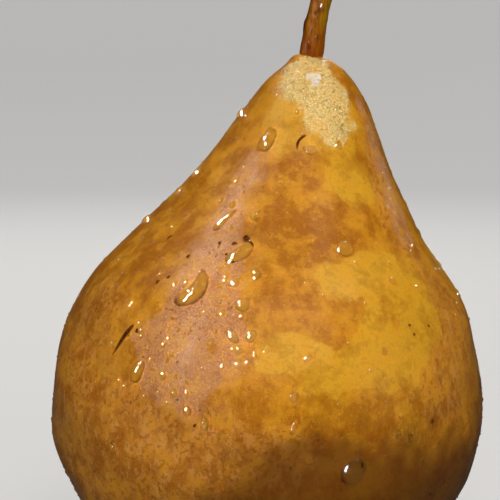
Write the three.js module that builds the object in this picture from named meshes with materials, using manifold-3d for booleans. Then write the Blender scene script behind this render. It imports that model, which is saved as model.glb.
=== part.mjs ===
// A ripe pear, wet from rinsing and standing on its base: the fruit, its woody stem and the dried calyx
// underneath.
// Millimetres, +Z up. The origin is under the middle of the pear, on the surface that it stands on.
import * as THREE from "three";
import { mergeVertices } from "three/addons/utils/BufferGeometryUtils.js";
import Module from "manifold-3d";

const wasm = await Module();
wasm.setup();

// Driving dimensions
const BELLY_RADIUS = 38.7;
const FRUIT_HEIGHT = 93.5; // from the surface below to the top of the neck
const STEM_REACH = 25; // of stem above the neck
const STEM_RADIUS = 1.9;
const CUP_RADIUS = 2.5; // of the calyx cup
const SEPALS = 5;
const BEAD_RISE = 0.28; // of a water bead over the skin, as a share of its width
const JOINT_GAP = 0.3; // between the flesh and what is set in it

// The fruit
const FRUIT_COLUMNS = 64;
const FRUIT_ROWS = 50;
// Half of the fruit's outline, from the calyx basin round the foot and the belly to the top of the neck:
// shares of the belly's radius and of the fruit's height.
const FRUIT_OUTLINE = [
  [0, 0.085],
  [0.11, 0.077],
  [0.22, 0.034],
  [0.33, 0.002],
  [0.43, -0.004],
  [0.56, 0.012],
  [0.74, 0.053],
  [0.892, 0.13],
  [0.982, 0.228],
  [1.004, 0.325],
  [0.973, 0.438],
  [0.858, 0.553],
  [0.614, 0.67],
  [0.413, 0.785],
  [0.308, 0.867],
  [0.237, 0.92],
  [0.153, 0.957],
  [0.076, 0.977],
  [0, 0.983],
];
// The neck leans to one side, and its rings tilt with it.
const LEAN = 11.9; // sideways, at the top of the neck
const LEAN_BACK = 2.2;
const LEAN_FROM = 0.59; // share of the height where it starts
const LEAN_SOFTNESS = 0.11;
const TOP_TILT = THREE.MathUtils.degToRad(29);
const TILT_POWER = 2.4;
// Five soft lobes round the foot, and a fruit that isn't quite round
const FOOT_LOBES = 5;
const LOBE_RISE = 0.9; // of the hollows between the lobes
const LOBE_TURN = 0.35; // radians
const LOBE_RADIUS = 0.3; // share of the belly's radius, where the lobes reach their full rise
const LOBE_REACH = 0.3; // share of the height, where they end
const OUT_OF_ROUND = 0.012; // share of the radius
const WIDEST_TURN = 0.4; // radians
// Low swells in the skin: waves in a few directions, evenly spread, that fade out near the axis and the foot
const SWELLS = 7;
const SWELL_HEIGHT = 0.16;
const SWELL_LENGTHS = [34, 13]; // longest and shortest wave
const SWELL_PHASE = 1.7; // radians, from one wave to the next
const SWELL_FREE_RADIUS = 12;
const SWELL_FREE_SHARE = 0.12; // of the height
const GOLDEN_ANGLE = Math.PI * (3 - Math.sqrt(5));

// The stem's middle line, from its root in the flesh to its cut end: shares of its reach from where it
// leaves the skin
const STEM_FOOT = new THREE.Vector3(7.9, 2.1, 92.6);
const STEM_LINE = [
  [-0.03, 0, -0.18],
  [0, 0, 0],
  [0.07, 0.01, 0.38],
  [0.2, 0.05, 0.75],
  [0.36, 0.13, 1],
];
const STEM_SIDES = 20;
const STEM_ROWS = 28;
// Its radius along it, as shares of the driving one: a spread foot, a slim middle and a flared end
const STEM_THICKNESS = [
  [0, 0.85],
  [0.17, 1.15],
  [0.28, 1.03],
  [0.55, 0.97],
  [0.86, 1.08],
  [0.96, 1.34],
  [1, 1.26],
];
const STEM_RIDGES = 5;
const STEM_RIDGE_SHARE = 0.035;
const STEM_TWIST = 2.2; // radians, from root to end
const END_DISH = 0.02; // share of the length that the cut end is hollowed
const END_RIM = 0.75; // share of the end's radius where its hollow steepens
const END_SLANT = 0.025; // share of the length that it drops on one side
// A bud scar: where it sits along the stem and round it, its size, and how far it stands out
const SCAR_SHARE = 0.31;
const SCAR_TURN = Math.PI;
const SCAR_WIDTHS = [0.04, 0.5]; // share of the length, radians
const SCAR_RISE = 0.3;

// The calyx: a short cup sunk in the basin, dried sepals that curl out of it, and what is left of the stamens
const CUP_WALL = 0.9;
const CUP_HEIGHT = 3;
const CUP_SUNK = 1.8; // of the cup in the flesh
const CUP_DEPTH = 1.5; // inside
const CUP_SIDES = 24;
const SEPAL_LENGTH = 4.6;
const SEPAL_WIDTH = 3;
const SEPAL_THICKNESS = 0.9;
const SEPAL_START = 0.35; // radians from straight down, at the root
const SEPAL_CURL = 1.15; // radians from root to tip
const SEPAL_ROOT = 0.35; // of the root inside the cup
const SEPAL_SIDES = 8;
const SEPAL_ROWS = 6;
const STAMENS = 6;
const STAMEN_RADIUS = 0.42;
const STAMEN_LENGTH = 2.3;
const STAMEN_RING = 0.85;
const STAMEN_SIDES = 6;

// Water beads on the skin: degrees round it from the front, the share of the way up its outline, their length
// and width, and the degrees that their length is turned from straight up
const BEADS = [
  [-24, 0.617, 7.4, 3.6, 28],
  [-14, 0.678, 5.6, 3, 48],
  [-31, 0.833, 5.4, 2.9, 4],
  [3, 0.829, 2.6, 2, 70],
  [-28, 0.727, 5.4, 1.5, 25],
  [-36, 0.527, 4, 3.1, 20],
  [26, 0.684, 3.6, 2.8, 50],
  [22, 0.453, 4.7, 4, 60],
  [-78, 0.758, 2.8, 2.4, 0],
  [-82, 0.854, 2.6, 2.2, 0],
  [-83, 0.713, 2.8, 2.4, 0],
];
// Those on the sides and the back are spread evenly by steps that never fall in line.
const FAR_BEADS = 15;
const FAR_TURNS = [98, 262];
const FAR_HEIGHTS = [0.46, 0.86];
const FAR_LENGTHS = [2.9, 4.8];
const FAR_ROUNDNESS = [0.7, 0.95]; // a far bead's width, as a share of its length
const FAR_SLANT = 24;
const BEAD_STEPS = [0.7549, 0.5698, 0.4302, 0.3247];
const BEAD_SUNK = 0.35; // share of a bead's rise that is below the skin
const BEAD_SIDES = 10;
const BEAD_RINGS = 6;

const UP = new THREE.Vector3(0, 0, 1);
const smoothstep = (x) => x * x * (3 - 2 * x);
const clamp01 = (x) => Math.min(1, Math.max(0, x));
const fraction = (x) => x - Math.floor(x);
const softRamp = (x, softness) => (x + Math.hypot(x, softness)) / 2;
const bump = (x, width) => Math.exp(-((x / width) ** 2));

// A smooth curve through pairs of numbers.
function curveThrough(pairs) {
  return new THREE.CatmullRomCurve3(pairs.map(([a, b]) => new THREE.Vector3(a, b, 0)));
}

// Moves each vertex of a geometry as move says. Copies of one point stay together.
function reshape(geometry, move) {
  const place = geometry.getAttribute("position");
  const point = new THREE.Vector3();
  for (let i = 0; i < place.count; i++) {
    point.fromBufferAttribute(place, i);
    move(point);
    place.setXYZ(i, point.x, point.y, point.z);
  }
  return geometry;
}

// Turns an outline of radii and heights round Z.
function turned(outline, sides) {
  return new THREE.LatheGeometry(outline, sides).rotateX(Math.PI / 2);
}

function solidFrom(geometry) {
  const bare = geometry.index ? geometry.toNonIndexed() : geometry.clone();
  bare.deleteAttribute("normal");
  bare.deleteAttribute("uv");
  const merged = mergeVertices(bare, 1e-3);
  return new wasm.Manifold(
    new wasm.Mesh({
      numProp: 3,
      vertProperties: merged.getAttribute("position").array,
      triVerts: new Uint32Array(merged.index.array),
    }),
  );
}

function geometryFrom(solid) {
  const mesh = solid.getMesh();
  return new THREE.BufferGeometry()
    .setAttribute("position", new THREE.BufferAttribute(mesh.vertProperties, 3))
    .setIndex(new THREE.BufferAttribute(mesh.triVerts, 1));
}

// How far the skin swells out at a point, in millimetres.
function swellAt(point) {
  let sum = 0;
  for (let i = 0; i < SWELLS; i++) {
    const share = (i + 0.5) / SWELLS;
    const rise = 1 - 2 * share;
    const flat = Math.sqrt(1 - rise * rise);
    const turn = i * GOLDEN_ANGLE;
    const along = point.x * flat * Math.cos(turn) + point.y * flat * Math.sin(turn) + point.z * rise;
    const length = THREE.MathUtils.lerp(SWELL_LENGTHS[0], SWELL_LENGTHS[1], share);
    sum += SWELL_HEIGHT * Math.sin((2 * Math.PI * along) / length + SWELL_PHASE * i);
  }
  return sum;
}

// Turns a point of the round, upright fruit into its real place.
function settle(point) {
  const angle = Math.atan2(point.y, point.x);
  const share = point.z / FRUIT_HEIGHT;
  const radius = Math.hypot(point.x, point.y);
  const inward = smoothstep(clamp01(radius / SWELL_FREE_RADIUS));
  const swell = swellAt(point) * inward * smoothstep(clamp01(share / SWELL_FREE_SHARE));
  const stretch = 1 + OUT_OF_ROUND * Math.cos(2 * (angle - WIDEST_TURN)) + swell / Math.max(radius, 1);
  point.x *= stretch;
  point.y *= stretch;
  const low = 1 - smoothstep(clamp01(share / LOBE_REACH));
  const lobed = clamp01(radius / (LOBE_RADIUS * BELLY_RADIUS)) * low;
  point.z += (LOBE_RISE / 2) * lobed * (1 - Math.cos(FOOT_LOBES * (angle - LOBE_TURN)));
  point.z = Math.max(point.z, 0);
  const leaning = (share - LEAN_FROM) / (1 - LEAN_FROM);
  const tilt = TOP_TILT * Math.pow(clamp01(leaning), TILT_POWER);
  point.z -= point.x * Math.sin(tilt);
  point.x = point.x * Math.cos(tilt) + LEAN * softRamp(leaning, LEAN_SOFTNESS);
  point.y += LEAN_BACK * softRamp(leaning, LEAN_SOFTNESS);
}

const fruitOutline = curveThrough(FRUIT_OUTLINE);

function fruitBody() {
  const outline = fruitOutline
    .getSpacedPoints(FRUIT_ROWS)
    .map((p) => new THREE.Vector2(BELLY_RADIUS * Math.max(p.x, 0), FRUIT_HEIGHT * p.y));
  outline[0].x = 0;
  outline[FRUIT_ROWS].x = 0;
  return solidFrom(reshape(turned(outline, FRUIT_COLUMNS), settle));
}

// The place on the skin at so many radians round it from the front and at a share of the way up its outline.
function skinPoint(turn, along) {
  const { x, y } = fruitOutline.getPointAt(clamp01(along));
  const radius = BELLY_RADIUS * Math.max(x, 0);
  const point = new THREE.Vector3(radius * Math.sin(turn), -radius * Math.cos(turn), FRUIT_HEIGHT * y);
  settle(point);
  return point;
}

// A low dome of water, standing square to the skin.
function waterBead([degrees, along, length, width, slant]) {
  const STEP = 0.01;
  const turn = THREE.MathUtils.degToRad(degrees);
  const place = skinPoint(turn, along);
  const round = skinPoint(turn + STEP, along).sub(skinPoint(turn - STEP, along)).normalize();
  const upward = skinPoint(turn, along + STEP).sub(skinPoint(turn, along - STEP)).normalize();
  const out = new THREE.Vector3().crossVectors(round, upward).normalize();
  const rise = BEAD_RISE * width;
  const dome = new THREE.SphereGeometry(1, BEAD_SIDES, BEAD_RINGS)
    .rotateX(Math.PI / 2)
    .scale(width / 2, length / 2, rise * (1 + BEAD_SUNK))
    .rotateZ(THREE.MathUtils.degToRad(-slant))
    .translate(0, 0, -rise * BEAD_SUNK)
    .applyMatrix4(new THREE.Matrix4().makeBasis(round, out.clone().cross(round), out))
    .translate(place.x, place.y, place.z);
  return solidFrom(dome);
}

function farBead(index) {
  const [turn, along, length, slant] = BEAD_STEPS.map((step) => fraction((index + 1) * step));
  const size = THREE.MathUtils.lerp(...FAR_LENGTHS, length);
  return [
    THREE.MathUtils.lerp(...FAR_TURNS, turn),
    THREE.MathUtils.lerp(...FAR_HEIGHTS, along),
    size,
    size * THREE.MathUtils.lerp(...FAR_ROUNDNESS, slant),
    FAR_SLANT * (2 * slant - 1),
  ];
}

// The stem, or the hole for it, which is wider by the slack and deeper.
function stemBody(slack) {
  const thickness = curveThrough(STEM_THICKNESS.map(([share, radius]) => [share, STEM_RADIUS * radius]));
  const side = thickness.getSpacedPoints(STEM_ROWS).map((p) => new THREE.Vector2(p.y + slack, p.x));
  const rim = side[STEM_ROWS];
  const outline = [
    new THREE.Vector2(0, 0),
    ...side,
    new THREE.Vector2(END_RIM * rim.x, 1 - END_DISH / 2),
    new THREE.Vector2(0, 1 - END_DISH),
  ];
  const line = STEM_LINE.map((p) => new THREE.Vector3(...p).multiplyScalar(STEM_REACH).add(STEM_FOOT));
  const curve = new THREE.CatmullRomCurve3(line);
  return solidFrom(
    reshape(turned(outline, STEM_SIDES), (point) => {
      const angle = Math.atan2(point.y, point.x);
      const share = point.z;
      const away = Math.abs(Math.atan2(Math.sin(angle - SCAR_TURN), Math.cos(angle - SCAR_TURN)));
      const scar = SCAR_RISE * bump(share - SCAR_SHARE, SCAR_WIDTHS[0]) * bump(away, SCAR_WIDTHS[1]);
      const ridge = 1 + STEM_RIDGE_SHARE * Math.cos(STEM_RIDGES * angle + STEM_TWIST * share);
      const lower = (END_SLANT / 2) * (1 + Math.cos(angle)) * smoothstep(share);
      const reach = Math.hypot(point.x, point.y) / rim.x;
      const slanted = clamp01(share - lower * Math.min(reach, 1));
      const offset = new THREE.Vector3(point.x, point.y, 0).multiplyScalar(ridge);
      offset.x += scar * Math.cos(angle) * Math.min(reach, 1);
      offset.y += scar * Math.sin(angle) * Math.min(reach, 1);
      const lean = new THREE.Quaternion().setFromUnitVectors(UP, curve.getTangentAt(slanted));
      point.copy(curve.getPointAt(slanted)).add(offset.applyQuaternion(lean));
    }),
  );
}

const basinTop = FRUIT_HEIGHT * FRUIT_OUTLINE[0][1];
const cupTop = basinTop + CUP_SUNK;
const cupRim = cupTop - CUP_HEIGHT;

function calyxCup() {
  const ceiling = cupRim + CUP_DEPTH;
  const bore = CUP_RADIUS - CUP_WALL;
  const outline = [
    [0, ceiling],
    [bore, ceiling],
    [bore, cupRim],
    [CUP_RADIUS, cupRim],
    [CUP_RADIUS, cupTop],
    [0, cupTop],
  ].map(([radius, height]) => new THREE.Vector2(radius, height));
  return solidFrom(turned(outline, CUP_SIDES));
}

// One sepal: a flat blade that tapers to a point and curls outward as it comes down.
function sepal(turn) {
  const bend = SEPAL_CURL / SEPAL_LENGTH;
  const blade = new THREE.ConeGeometry(SEPAL_WIDTH / 2, SEPAL_LENGTH, SEPAL_SIDES, SEPAL_ROWS)
    .scale(1, 1, SEPAL_THICKNESS / SEPAL_WIDTH)
    .translate(0, SEPAL_LENGTH / 2, 0);
  const curled = reshape(blade, (point) => {
    const along = point.y;
    const heading = SEPAL_START + bend * along;
    const thick = point.z;
    const width = point.x;
    const out = CUP_RADIUS - CUP_WALL / 2 + (Math.cos(SEPAL_START) - Math.cos(heading)) / bend;
    const down = (Math.sin(heading) - Math.sin(SEPAL_START)) / bend;
    point.x = out + thick * Math.cos(heading);
    point.y = -width;
    point.z = cupRim + SEPAL_ROOT - down + thick * Math.sin(heading);
  });
  return solidFrom(curled.rotateZ(turn));
}

function stamen(turn) {
  const ceiling = cupRim + CUP_DEPTH + JOINT_GAP;
  return solidFrom(
    new THREE.ConeGeometry(STAMEN_RADIUS, STAMEN_LENGTH, STAMEN_SIDES)
      .rotateX(-Math.PI / 2)
      .translate(STAMEN_RING, 0, ceiling - STAMEN_LENGTH / 2)
      .rotateZ(turn),
  );
}

function calyxBody() {
  let calyx = calyxCup();
  for (let i = 0; i < SEPALS; i++) {
    calyx = calyx.add(sepal((2 * Math.PI * i) / SEPALS));
  }
  for (let i = 0; i < STAMENS; i++) {
    calyx = calyx.add(stamen((2 * Math.PI * i) / STAMENS));
  }
  return calyx;
}

function cupSocket() {
  const height = CUP_HEIGHT + JOINT_GAP;
  const radius = CUP_RADIUS + JOINT_GAP;
  return solidFrom(
    new THREE.CylinderGeometry(radius, radius, height, CUP_SIDES)
      .rotateX(Math.PI / 2)
      .translate(0, 0, cupRim + height / 2),
  );
}

function wetFruit() {
  let fruit = fruitBody();
  const farBeads = [...Array(FAR_BEADS).keys()].map(farBead);
  for (const bead of [...BEADS, ...farBeads]) {
    fruit = fruit.add(waterBead(bead));
  }
  return fruit.subtract(stemBody(JOINT_GAP)).subtract(cupSocket());
}

const group = new THREE.Group();

function addPiece(name, solid, color, roughness) {
  const material = new THREE.MeshStandardMaterial({ color, roughness, metalness: 0 });
  const mesh = new THREE.Mesh(geometryFrom(solid), material);
  mesh.name = name;
  group.add(mesh);
}

addPiece("fruit", wetFruit(), 0xc8922a, 0.3);
addPiece("stem", stemBody(0), 0x7d4f1c, 0.55);
addPiece("calyx", calyxBody(), 0x3d2a18, 0.85);

export default group;
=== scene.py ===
"""A ripe pear, wet from rinsing: its skin, stem, calyx and water beads, built around the CAD frame.

Shapes are worked out in millimetres, and put_mesh turns them into metres."""

import math

import bmesh
import bpy
import numpy as np
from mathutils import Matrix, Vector, noise
from mathutils.bvhtree import BVHTree


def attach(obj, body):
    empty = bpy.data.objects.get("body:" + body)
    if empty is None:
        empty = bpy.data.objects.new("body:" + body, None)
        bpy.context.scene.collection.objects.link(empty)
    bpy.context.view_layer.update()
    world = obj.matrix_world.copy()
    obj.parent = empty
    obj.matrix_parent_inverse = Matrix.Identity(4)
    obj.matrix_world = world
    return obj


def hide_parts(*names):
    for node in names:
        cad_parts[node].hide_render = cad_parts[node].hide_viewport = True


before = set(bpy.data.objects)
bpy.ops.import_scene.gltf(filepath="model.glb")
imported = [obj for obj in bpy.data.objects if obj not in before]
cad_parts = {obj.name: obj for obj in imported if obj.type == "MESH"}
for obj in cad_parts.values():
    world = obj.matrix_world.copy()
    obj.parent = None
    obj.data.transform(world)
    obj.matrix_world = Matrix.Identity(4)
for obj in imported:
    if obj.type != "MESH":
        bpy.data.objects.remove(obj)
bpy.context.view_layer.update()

MM = 0.001
GOLDEN_ANGLE = math.pi * (3 - math.sqrt(5))

# The fruit's form, by the same formula as the frame's
BELLY_RADIUS = 38.7
FRUIT_HEIGHT = 93.5
FRUIT_OUTLINE = [
    (0, 0.085), (0.11, 0.077), (0.22, 0.034), (0.33, 0.002), (0.43, -0.004), (0.56, 0.012), (0.74, 0.053),
    (0.892, 0.13), (0.982, 0.228), (1.004, 0.325), (0.973, 0.438), (0.858, 0.553), (0.614, 0.67),
    (0.413, 0.785), (0.308, 0.867), (0.237, 0.92), (0.153, 0.957), (0.076, 0.977), (0, 0.983),
]
LEAN, LEAN_BACK, LEAN_FROM, LEAN_SOFTNESS = 11.9, 2.2, 0.59, 0.11
TOP_TILT, TILT_POWER = math.radians(29), 2.4
FOOT_LOBES, LOBE_RISE, LOBE_TURN, LOBE_RADIUS, LOBE_REACH = 5, 0.9, 0.35, 0.3, 0.3
OUT_OF_ROUND, WIDEST_TURN = 0.012, 0.4
SWELLS, SWELL_HEIGHT, SWELL_LENGTHS, SWELL_PHASE = 7, 0.16, (34, 13), 1.7
SWELL_FREE_RADIUS, SWELL_FREE_SHARE = 12, 0.12

# The stem's middle line, as in the frame
STEM_FOOT = np.array([7.9, 2.1, 92.6])
STEM_REACH, STEM_RADIUS = 25, 1.9
STEM_LINE = [(-0.03, 0, -0.18), (0, 0, 0), (0.07, 0.01, 0.38), (0.2, 0.05, 0.75), (0.36, 0.13, 1)]
STEM_THICKNESS = [(0, 0.85), (0.17, 1.15), (0.28, 1.03), (0.55, 0.97), (0.86, 1.08), (0.96, 1.34), (1, 1.26)]

# Mesh fineness
SKIN_COLUMNS, SKIN_ROWS = 400, 235

# How far the places where two seeds read the noise lie apart
NOISE_STEPS = (17.3, 5.1, 11.7)

# Sockets of the Mix node that carry colours
MIX_A, MIX_B, MIX_RESULT = 6, 7, 2


def smoothstep(x):
    x = np.clip(x, 0, 1)
    return x * x * (3 - 2 * x)


def blend(ends, share):
    return ends[0] + (ends[1] - ends[0]) * share


def unit(vectors):
    return vectors / np.linalg.norm(vectors, axis=-1, keepdims=True)


def circle(sides):
    """The angles of so many steps round a circle."""
    return np.arange(sides) * 2 * math.pi / sides


def srgb(red, green, blue, alpha=1.0):
    """A colour given as 0 to 255 on a screen, as Blender's linear numbers."""
    values = [c / 255 for c in (red, green, blue)]
    return [c / 12.92 if c < 0.04045 else ((c + 0.055) / 1.055) ** 2.4 for c in values] + [alpha]


def curve_through(points, samples_per_span=60):
    """Dense points of a centripetal Catmull-Rom curve, with their shares of its length."""
    points = np.array(points, float)
    ends = np.vstack([2 * points[0] - points[1], points, 2 * points[-1] - points[-2]])
    spans = []
    for p0, p1, p2, p3 in zip(ends, ends[1:], ends[2:], ends[3:]):
        d0, d1, d2 = (np.linalg.norm(b - a) ** 0.5 for a, b in ((p0, p1), (p1, p2), (p2, p3)))
        start = ((p1 - p0) / d0 - (p2 - p0) / (d0 + d1) + (p2 - p1) / d1) * d1
        end = ((p2 - p1) / d1 - (p3 - p1) / (d1 + d2) + (p3 - p2) / d2) * d1
        t = np.linspace(0, 1, samples_per_span, endpoint=False)[:, None]
        bend = 3 * (p2 - p1) - 2 * start - end
        spans.append(p1 + start * t + bend * t**2 + (2 * (p1 - p2) + start + end) * t**3)
    dense = np.vstack([*spans, points[-1:]])
    length = np.concatenate([[0], np.cumsum(np.linalg.norm(np.diff(dense, axis=0), axis=1))])
    return dense, length / length[-1]


OUTLINE, OUTLINE_SHARES = curve_through(FRUIT_OUTLINE)


def swell_at(x, y, z):
    """The height of slow waves that cross the fruit in directions spread all round."""
    total = np.zeros_like(x)
    for i in range(SWELLS):
        share = (i + 0.5) / SWELLS
        rise = 1 - 2 * share
        flat = math.sqrt(1 - rise * rise)
        turn = i * GOLDEN_ANGLE
        along = x * flat * math.cos(turn) + y * flat * math.sin(turn) + z * rise
        total += SWELL_HEIGHT * np.sin(2 * math.pi * along / blend(SWELL_LENGTHS, share) + SWELL_PHASE * i)
    return total


def settle(x, y, z):
    """Turns points of the round, upright fruit into their real places."""
    angle = np.arctan2(y, x)
    share = z / FRUIT_HEIGHT
    radius = np.hypot(x, y)
    inward = smoothstep(radius / SWELL_FREE_RADIUS) * smoothstep(share / SWELL_FREE_SHARE)
    stretch = 1 + OUT_OF_ROUND * np.cos(2 * (angle - WIDEST_TURN))
    stretch += swell_at(x, y, z) * inward / np.maximum(radius, 1)
    x, y = x * stretch, y * stretch
    lobed = np.clip(radius / (LOBE_RADIUS * BELLY_RADIUS), 0, 1) * (1 - smoothstep(share / LOBE_REACH))
    z = z + LOBE_RISE / 2 * lobed * (1 - np.cos(FOOT_LOBES * (angle - LOBE_TURN)))
    z = np.maximum(z, 0)
    leaning = (share - LEAN_FROM) / (1 - LEAN_FROM)
    ramp = (leaning + np.hypot(leaning, LEAN_SOFTNESS)) / 2
    tilt = TOP_TILT * np.clip(leaning, 0, 1) ** TILT_POWER
    return x * np.cos(tilt) + LEAN * ramp, y + LEAN_BACK * ramp, z - x * np.sin(tilt)


def skin_at(turn, along):
    """Places on the skin: radians round it from the front, and the share of the way up its outline."""
    turn, along = np.broadcast_arrays(np.asarray(turn, float), np.asarray(along, float))
    radius = BELLY_RADIUS * np.maximum(np.interp(along, OUTLINE_SHARES, OUTLINE[:, 0]), 0)
    height = FRUIT_HEIGHT * np.interp(along, OUTLINE_SHARES, OUTLINE[:, 1])
    return np.stack(settle(radius * np.sin(turn), -radius * np.cos(turn), height), -1)


# Meshes


def closed_body(start, rings, end):
    """Points and faces of a closed body: rings of points, closed off by a point at either end."""
    rows, columns = rings.shape[:2]
    points = np.vstack([start[None], rings.reshape(-1, 3), end[None]])
    row = 1 + np.arange(rows - 1)[:, None] * columns
    column = np.arange(columns)[None, :]
    after = (column + 1) % columns
    quads = np.stack([row + column, row + after, row + columns + after, row + columns + column], -1)
    first, last = 1 + column[0], 1 + (rows - 1) * columns + column[0]
    faces = quads.reshape(-1, 4).tolist()
    faces += [(0, b, a) for a, b in zip(first, np.roll(first, -1))]
    faces += [(len(points) - 1, a, b) for a, b in zip(last, np.roll(last, -1))]
    return points, faces


def put_mesh(name, bodies, material, replaces=()):
    """One smooth object of several closed bodies, riding on the part."""
    points, faces, shift = [], [], 0
    for body_points, body_faces in bodies:
        points.append(body_points)
        faces.extend([tuple(int(i) + shift for i in face) for face in body_faces])
        shift += len(body_points)
    mesh = bpy.data.meshes.new(name)
    mesh.from_pydata((np.vstack(points) * MM).tolist(), [], faces)
    facing = bmesh.new()
    facing.from_mesh(mesh)
    bmesh.ops.recalc_face_normals(facing, faces=facing.faces)
    facing.to_mesh(mesh)
    facing.free()
    mesh.shade_smooth()
    mesh.materials.append(material)
    piece = bpy.data.objects.new(name, mesh)
    bpy.context.scene.collection.objects.link(piece)
    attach(piece, "root")
    if replaces:
        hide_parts(*replaces)
    return piece


def noise_at(points, size, seed):
    """Smooth noise from about -1 to 1 at points, with blobs of a size."""
    shift = Vector([seed * step for step in NOISE_STEPS])
    return np.array([noise.noise(Vector(p) / size + shift) for p in points.tolist()])


def ground_of(body):
    """What water and scabs are laid on."""
    points, faces = body
    return BVHTree.FromPolygons([Vector(p) for p in points.tolist()], [list(face) for face in faces])


def landed(ground, points, outward, reach=4):
    """Points moved along the outward direction onto the ground."""
    found = []
    for point in points:
        hit = ground.ray_cast(Vector(point + outward * reach), Vector(-outward), 2 * reach)[0]
        found.append(point if hit is None else np.array(hit))
    return np.array(found)


# Materials


# Where the soft edge of a mask begins and ends once it is made crisp
CRISP_FROM, CRISP_TO = 0.4, 0.54


class Shader:
    """A node material made by short calls. Places are in millimetres."""

    def __init__(self, name):
        self.material = bpy.data.materials.new(name)
        self.material.use_nodes = True
        self.tree = self.material.node_tree
        self.surface = self.tree.nodes["Principled BSDF"]
        coordinates = self.tree.nodes.new("ShaderNodeTexCoord")
        self.place = self.vector("SCALE", coordinates.outputs["Object"], scale=1 / MM)

    def plug(self, socket, value):
        if isinstance(value, bpy.types.NodeSocket):
            self.tree.links.new(value, socket)
        else:
            socket.default_value = value

    def vector(self, operation, a, b=None, scale=None, output="Vector"):
        node = self.tree.nodes.new("ShaderNodeVectorMath")
        node.operation = operation
        self.plug(node.inputs[0], a)
        if b is not None:
            self.plug(node.inputs[1], b)
        if scale is not None:
            self.plug(node.inputs["Scale"], scale)
        return node.outputs[output]

    def math(self, operation, a, b=0.0, c=0.0):
        node = self.tree.nodes.new("ShaderNodeMath")
        node.operation = operation
        for socket, value in zip(node.inputs, (a, b, c)):
            self.plug(socket, value)
        return node.outputs[0]

    def times(self, a, b):
        return self.math("MULTIPLY", a, b)

    def attribute(self, name):
        node = self.tree.nodes.new("ShaderNodeAttribute")
        node.attribute_name = name
        return node.outputs["Fac"]

    def noise(self, size, detail=2.0, roughness=0.5, place=None, output="Fac"):
        node = self.tree.nodes.new("ShaderNodeTexNoise")
        self.plug(node.inputs["Vector"], place or self.place)
        node.inputs["Scale"].default_value = 1 / size
        node.inputs["Detail"].default_value = detail
        node.inputs["Roughness"].default_value = roughness
        return node.outputs[output]

    def step(self, value, low, high):
        """0 below low and 1 above high, smooth between. With low over high it falls."""
        node = self.tree.nodes.new("ShaderNodeMapRange")
        node.interpolation_type = "SMOOTHSTEP"
        self.plug(node.inputs["Value"], value)
        node.inputs["From Min"].default_value = min(low, high)
        node.inputs["From Max"].default_value = max(low, high)
        node.inputs["To Min"].default_value = 0.0 if low < high else 1.0
        node.inputs["To Max"].default_value = 1.0 if low < high else 0.0
        return node.outputs["Result"]

    def crisp(self, mask, rough, amount):
        """A soft mask given a sharp edge, ragged by some amount of a rough value."""
        shifted = self.math("SUBTRACT", mask, amount / 2)
        return self.step(self.math("MULTIPLY_ADD", rough, amount, shifted), CRISP_FROM, CRISP_TO)

    def mix(self, a, b, share):
        node = self.tree.nodes.new("ShaderNodeMix")
        node.data_type = "RGBA"
        self.plug(node.inputs["Factor"], share)
        self.plug(node.inputs[MIX_A], a)
        self.plug(node.inputs[MIX_B], b)
        return node.outputs[MIX_RESULT]

    def tint(self, colour, shade, mask, amount):
        """A colour turned towards a shade, by an amount where the mask is 1."""
        return self.mix(colour, srgb(*shade), self.times(mask, amount))

    def warped(self, size, amount):
        """Places shifted about by noise, for ragged edges."""
        centred = self.vector("SUBTRACT", self.noise(size, output="Color"), (0.5, 0.5, 0.5))
        return self.vector("ADD", self.place, self.vector("SCALE", centred, scale=2 * amount))

    def dots(self, size, low, high, share):
        """Round dots, one in a share of the cells: 1 in their middles."""
        cells = self.tree.nodes.new("ShaderNodeTexVoronoi")
        self.plug(cells.inputs["Vector"], self.place)
        cells.inputs["Scale"].default_value = 1 / size
        own = self.vector("DOT_PRODUCT", cells.outputs["Color"], (1, 0, 0), output="Value")
        chosen = self.math("LESS_THAN", own, share)
        return self.times(self.step(cells.outputs["Distance"], high / size, low / size), chosen)

    def bump(self, height, distance):
        node = self.tree.nodes.new("ShaderNodeBump")
        node.inputs["Distance"].default_value = distance * MM
        node.inputs["Strength"].default_value = 1.0
        self.plug(node.inputs["Height"], height)
        return node.outputs["Normal"]

    def set(self, **values):
        for name, value in values.items():
            self.plug(self.surface.inputs[name.replace("_", " ")], value)


# Water and marks on the skin


# Each is given by the degrees round the fruit from the front, the share of the way up its outline, its length
# and width in millimetres, and the degrees that its top leans to the right

# The large beads, as in the frame
BEADS = [
    (-24, 0.617, 7.4, 3.6, 28), (-14, 0.678, 5.6, 3, 48), (-31, 0.833, 5.4, 2.9, 4),
    (3, 0.829, 2.6, 2.0, 70), (-28, 0.727, 5.4, 1.5, 25), (-36, 0.527, 4, 3.1, 20),
    (26, 0.684, 3.6, 2.8, 50), (22, 0.453, 4.7, 4, 60), (-78, 0.758, 2.8, 2.4, 0),
    (-82, 0.854, 2.6, 2.2, 0), (-83, 0.713, 2.8, 2.4, 0),
]
# More on the sides and the back: how many, and the limits of their places, lengths and slants
FAR_BEADS = 15
FAR_TURNS, FAR_HEIGHTS, FAR_LENGTHS, FAR_SLANT = (98, 262), (0.46, 0.86), (2.9, 4.8), 24
BEAD_STEPS = (0.7549, 0.5698, 0.4302, 0.3247)
# Width as a share of the length, and rise as a share of the width
ROUNDNESS = (0.7, 0.95)
BEAD_RISE = 0.28
# How far the middle of some of them is pushed sideways, as a share of their width
BEAD_BENDS = {0: 0.4, 1: 0.15, 4: -0.2}

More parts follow.
